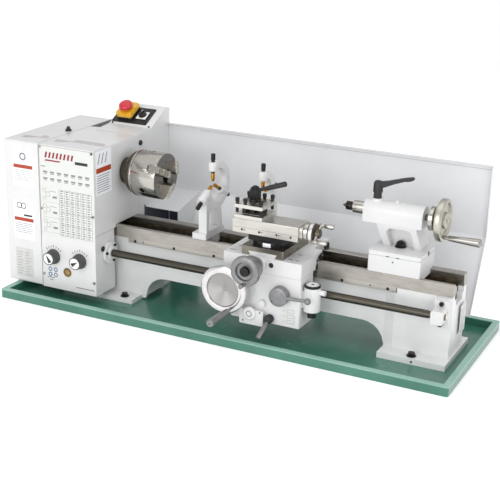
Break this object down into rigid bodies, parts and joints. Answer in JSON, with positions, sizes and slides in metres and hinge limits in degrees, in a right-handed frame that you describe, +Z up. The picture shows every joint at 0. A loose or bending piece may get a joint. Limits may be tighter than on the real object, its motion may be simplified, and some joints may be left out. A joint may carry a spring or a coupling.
{
  "type": "benchtop metal lathe",
  "caption": "Benchtop metal-turning lathe with geared headstock, three-jaw chuck, carriage with compound and tool post, rests, tailstock, chip tray and splash guard.",
  "frame": {"origin": "bottom centre of the whole machine, on the underside of the chip tray", "axes": "+X along the bed from headstock to tailstock, +Y from the operator to the rear guard, +Z up"},
  "size_m": [1.3, 0.538, 0.5098],
  "materials": {
    "painted_white": "satin machine enamel over filled castings",
    "sheet_grey": "satin powder coat on folded sheet",
    "painted_green": "gloss enamel on sheet steel",
    "ground_steel": "surface ground, fine straight lay",
    "chrome_steel": "polished, faint turning rings",
    "dark_steel": "oiled dark steel",
    "black_oxide": "black oxide, lightly oiled",
    "grey_alloy": "cast, satin grey",
    "cast_iron": "machined cast iron",
    "motor_paint": "semi-gloss dark grey",
    "black_plastic": "fine moulded texture",
    "yellow_plastic": "smooth moulded",
    "red_plastic": "smooth moulded",
    "amber_glass": "clear amber",
    "dial_face": "satin, engraved dial",
    "belt_rubber": "woven rubber",
    "brass": "machined brass tips"
  },
  "bodies": {
    "machine": {"chip_tray": "painted_green", "backsplash": "sheet_grey", "bed": "painted_white", "gear_rack": "ground_steel", "leadscrew_flange": "painted_white", "leadscrew_bracket": "painted_white", "headstock_casting": "painted_white", "front_panel": "painted_white", "gearbox_housing": "painted_white", "rear_cover": "sheet_grey", "control_box": "sheet_grey", "switch_plate": "black_plastic", "motor": "motor_paint", "sight_glass": "amber_glass", "fasteners": "black_oxide", "spindle_bearings": "ground_steel", "drive_belt": "belt_rubber"},
    "spindle_set": {"spindle": "ground_steel", "spindle_pulley": "cast_iron", "chuck_backplate": "chrome_steel", "chuck_body": "chrome_steel"},
    "jaw_1": {"chuck_jaw_1": "chrome_steel"},
    "jaw_2": {"chuck_jaw_2": "chrome_steel"},
    "jaw_3": {"chuck_jaw_3": "chrome_steel"},
    "motor_rotor": {"motor_pulley": "cast_iron"},
    "idler": {"idler_gear": "cast_iron"},
    "screw": {"leadscrew": "dark_steel"},
    "end_cover": {"end_cover": "painted_white"},
    "cover_knob": {"cover_knob": "black_oxide"},
    "selector_left": {"gear_selector_left": "black_plastic"},
    "selector_right": {"gear_selector_right": "black_plastic"},
    "stop_flap": {"stop_flap": "yellow_plastic"},
    "stop_button": {"stop_button": "red_plastic"},
    "direction_switch": {"direction_switch": "black_plastic"},
    "carriage": {"saddle": "painted_white", "apron": "painted_white", "follow_rest": "painted_white"},
    "carriage_wheel": {"carriage_wheel": "painted_white"},
    "cross_wheel": {"cross_wheel": "grey_alloy"},
    "half_nut_lever": {"half_nut_lever": "grey_alloy"},
    "feed_lever": {"feed_lever": "grey_alloy"},
    "thread_dial": {"thread_dial": "dial_face"},
    "follow_finger_1": {"follow_finger_1": "brass"},
    "follow_finger_2": {"follow_finger_2": "brass"},
    "cross_slide": {"cross_slide": "ground_steel"},
    "swivel": {"swivel_base": "dark_steel"},
    "compound": {"compound_slide": "ground_steel"},
    "compound_crank": {"compound_crank": "dark_steel"},
    "tool_post": {"tool_post": "ground_steel", "tool_post_screws": "black_oxide"},
    "tool_clamp": {"tool_clamp_lever": "black_oxide"},
    "steady_rest": {"steady_rest": "painted_white"},
    "steady_finger_1": {"steady_finger_1": "brass"},
    "steady_finger_2": {"steady_finger_2": "brass"},
    "steady_finger_3": {"steady_finger_3": "brass"},
    "tailstock": {"tailstock_base": "painted_white", "tailstock_body": "painted_white"},
    "quill": {"tailstock_quill": "ground_steel"},
    "tailstock_wheel": {"tailstock_wheel": "chrome_steel"},
    "tailstock_lock": {"tailstock_lock_lever": "black_oxide"}
  },
  "joints": [
    {"name": "spindle_spin", "type": "hinge", "parent": "machine", "child": "spindle_set", "pos_m": [-0.36, 0.031, 0.35], "axis": [1, 0, 0], "continuous": true},
    {"name": "jaw_1_slide", "type": "slide", "parent": "spindle_set", "child": "jaw_1", "axis": [0, 0, -1], "range_m": [-0.006, 0.006]},
    {"name": "jaw_2_slide", "type": "slide", "parent": "spindle_set", "child": "jaw_2", "axis": [0, 0.866, 0.5], "range_m": [-0.006, 0.006]},
    {"name": "jaw_3_slide", "type": "slide", "parent": "spindle_set", "child": "jaw_3", "axis": [0, -0.866, 0.5], "range_m": [-0.006, 0.006]},
    {"name": "motor_spin", "type": "hinge", "parent": "machine", "child": "motor_rotor", "pos_m": [-0.36, 0.177, 0.24], "axis": [1, 0, 0], "continuous": true},
    {"name": "idler_spin", "type": "hinge", "parent": "machine", "child": "idler", "pos_m": [-0.36, -0.03249, 0.26637], "axis": [1, 0, 0], "continuous": true},
    {"name": "leadscrew_spin", "type": "hinge", "parent": "machine", "child": "screw", "pos_m": [-0.36, -0.063, 0.14], "axis": [1, 0, 0], "continuous": true},
    {"name": "end_cover_hinge", "type": "hinge", "parent": "machine", "child": "end_cover", "pos_m": [-0.5425, 0.238, 0.21], "axis": [0, 0, 1], "range_deg": [-100, 0]},
    {"name": "cover_knob_turn", "type": "hinge", "parent": "end_cover", "child": "cover_knob", "pos_m": [-0.555, 0.039, 0.44], "axis": [0, 0, 1], "range_deg": [0, 720]},
    {"name": "selector_left_turn", "type": "hinge", "parent": "machine", "child": "selector_left", "pos_m": [-0.497, -0.127, 0.123], "axis": [0, 1, 0], "range_deg": [-60, 60]},
    {"name": "selector_right_turn", "type": "hinge", "parent": "machine", "child": "selector_right", "pos_m": [-0.411, -0.127, 0.124], "axis": [0, 1, 0], "range_deg": [-60, 60]},
    {"name": "stop_flap_hinge", "type": "hinge", "parent": "machine", "child": "stop_flap", "pos_m": [-0.457, 0.22058, 0.48734], "axis": [-1, 0, 0], "range_deg": [0, 75]},
    {"name": "stop_button_press", "type": "slide", "parent": "stop_flap", "child": "stop_button", "axis": [0, 0.4773, -0.8787], "range_m": [0, 0.0035], "stiffness_N_per_m": 900},
    {"name": "direction_switch_turn", "type": "hinge", "parent": "machine", "child": "direction_switch", "pos_m": [-0.409, 0.19775, 0.46652], "axis": [0, -0.4773, 0.8787], "range_deg": [-45, 45]},
    {"name": "carriage_slide", "type": "slide", "parent": "machine", "child": "carriage", "axis": [1, 0, 0], "range_m": [-0.09, 0.08]},
    {"name": "carriage_wheel_turn", "type": "hinge", "parent": "carriage", "child": "carriage_wheel", "pos_m": [0.045, -0.149, 0.139], "axis": [0, 1, 0], "range_deg": [-1100, 980]},
    {"name": "cross_slide_feed", "type": "slide", "parent": "carriage", "child": "cross_slide", "axis": [0, 1, 0], "range_m": [-0.01, 0.04]},
    {"name": "cross_wheel_turn", "type": "hinge", "parent": "carriage", "child": "cross_wheel", "pos_m": [0.124, -0.169, 0.214], "axis": [0, 1, 0], "range_deg": [-1500, 5900]},
    {"name": "compound_swivel", "type": "hinge", "parent": "cross_slide", "child": "swivel", "pos_m": [0.133, -0.057, 0.25], "axis": [0, 0, 1], "range_deg": [-30, 30]},
    {"name": "compound_feed", "type": "slide", "parent": "swivel", "child": "compound", "axis": [1, 0, 0], "range_m": [-0.025, 0.03]},
    {"name": "compound_crank_turn", "type": "hinge", "parent": "compound", "child": "compound_crank", "pos_m": [0.24, -0.0735, 0.298], "axis": [1, 0, 0], "range_deg": [-3700, 4400]},
    {"name": "tool_post_index", "type": "hinge", "parent": "compound", "child": "tool_post", "pos_m": [0.084, -0.069, 0.316], "axis": [0, 0, 1], "continuous": true},
    {"name": "tool_clamp_turn", "type": "hinge", "parent": "compound", "child": "tool_clamp", "pos_m": [0.084, -0.069, 0.36], "axis": [0, 0, 1], "range_deg": [-60, 60]},
    {"name": "half_nut_engage", "type": "hinge", "parent": "carriage", "child": "half_nut_lever", "pos_m": [0.188, -0.119, 0.14], "axis": [0, 1, 0], "range_deg": [0, 35]},
    {"name": "feed_engage", "type": "hinge", "parent": "carriage", "child": "feed_lever", "pos_m": [0.16, -0.119, 0.072], "axis": [0, 1, 0], "range_deg": [-25, 25]},
    {"name": "thread_dial_spin", "type": "hinge", "parent": "carriage", "child": "thread_dial", "pos_m": [0.2615, -0.096, 0.14], "axis": [0, 0, 1], "continuous": true},
    {"name": "follow_finger_1_slide", "type": "slide", "parent": "carriage", "child": "follow_finger_1", "axis": [0, 0, 1], "range_m": [-0.003, 0.012]},
    {"name": "follow_finger_2_slide", "type": "slide", "parent": "carriage", "child": "follow_finger_2", "axis": [0, 1, 0], "range_m": [-0.003, 0.012]},
    {"name": "steady_rest_slide", "type": "slide", "parent": "machine", "child": "steady_rest", "axis": [1, 0, 0], "range_m": [-0.06, 0.06]},
    {"name": "steady_finger_1_slide", "type": "slide", "parent": "steady_rest", "child": "steady_finger_1", "axis": [0, 0, 1], "range_m": [-0.003, 0.012]},
    {"name": "steady_finger_2_slide", "type": "slide", "parent": "steady_rest", "child": "steady_finger_2", "axis": [0, -0.866, -0.5], "range_m": [-0.003, 0.012]},
    {"name": "steady_finger_3_slide", "type": "slide", "parent": "steady_rest", "child": "steady_finger_3", "axis": [0, 0.866, -0.5], "range_m": [-0.003, 0.012]},
    {"name": "tailstock_slide", "type": "slide", "parent": "machine", "child": "tailstock", "axis": [1, 0, 0], "range_m": [-0.06, 0.08]},
    {"name": "quill_feed", "type": "slide", "parent": "tailstock", "child": "quill", "axis": [-1, 0, 0], "range_m": [0, 0.06]},
    {"name": "tailstock_wheel_turn", "type": "hinge", "parent": "tailstock", "child": "tailstock_wheel", "pos_m": [0.51, 0.031, 0.35], "axis": [-1, 0, 0], "range_deg": [-10, 7250]},
    {"name": "tailstock_lock_turn", "type": "hinge", "parent": "tailstock", "child": "tailstock_lock", "pos_m": [0.371, 0.031, 0.38], "axis": [0, 0, 1], "range_deg": [-60, 60]}
  ],
  "couplings": [
    {"joint": "jaw_2_slide", "follows": "jaw_1_slide", "ratio": 1},
    {"joint": "jaw_3_slide", "follows": "jaw_1_slide", "ratio": 1},
    {"joint": "motor_spin", "follows": "spindle_spin", "ratio": 2.0924},
    {"joint": "idler_spin", "follows": "spindle_spin", "ratio": -0.3125},
    {"joint": "leadscrew_spin", "follows": "spindle_spin", "ratio": 0.5},
    {"joint": "carriage_wheel_turn", "follows": "carriage_slide", "rad_per_m": 209.44},
    {"joint": "cross_wheel_turn", "follows": "cross_slide_feed", "rad_per_m": 2513.3},
    {"joint": "compound_crank_turn", "follows": "compound_feed", "rad_per_m": 2513.3},
    {"joint": "tailstock_wheel_turn", "follows": "quill_feed", "rad_per_m": 2094.4}
  ]
}
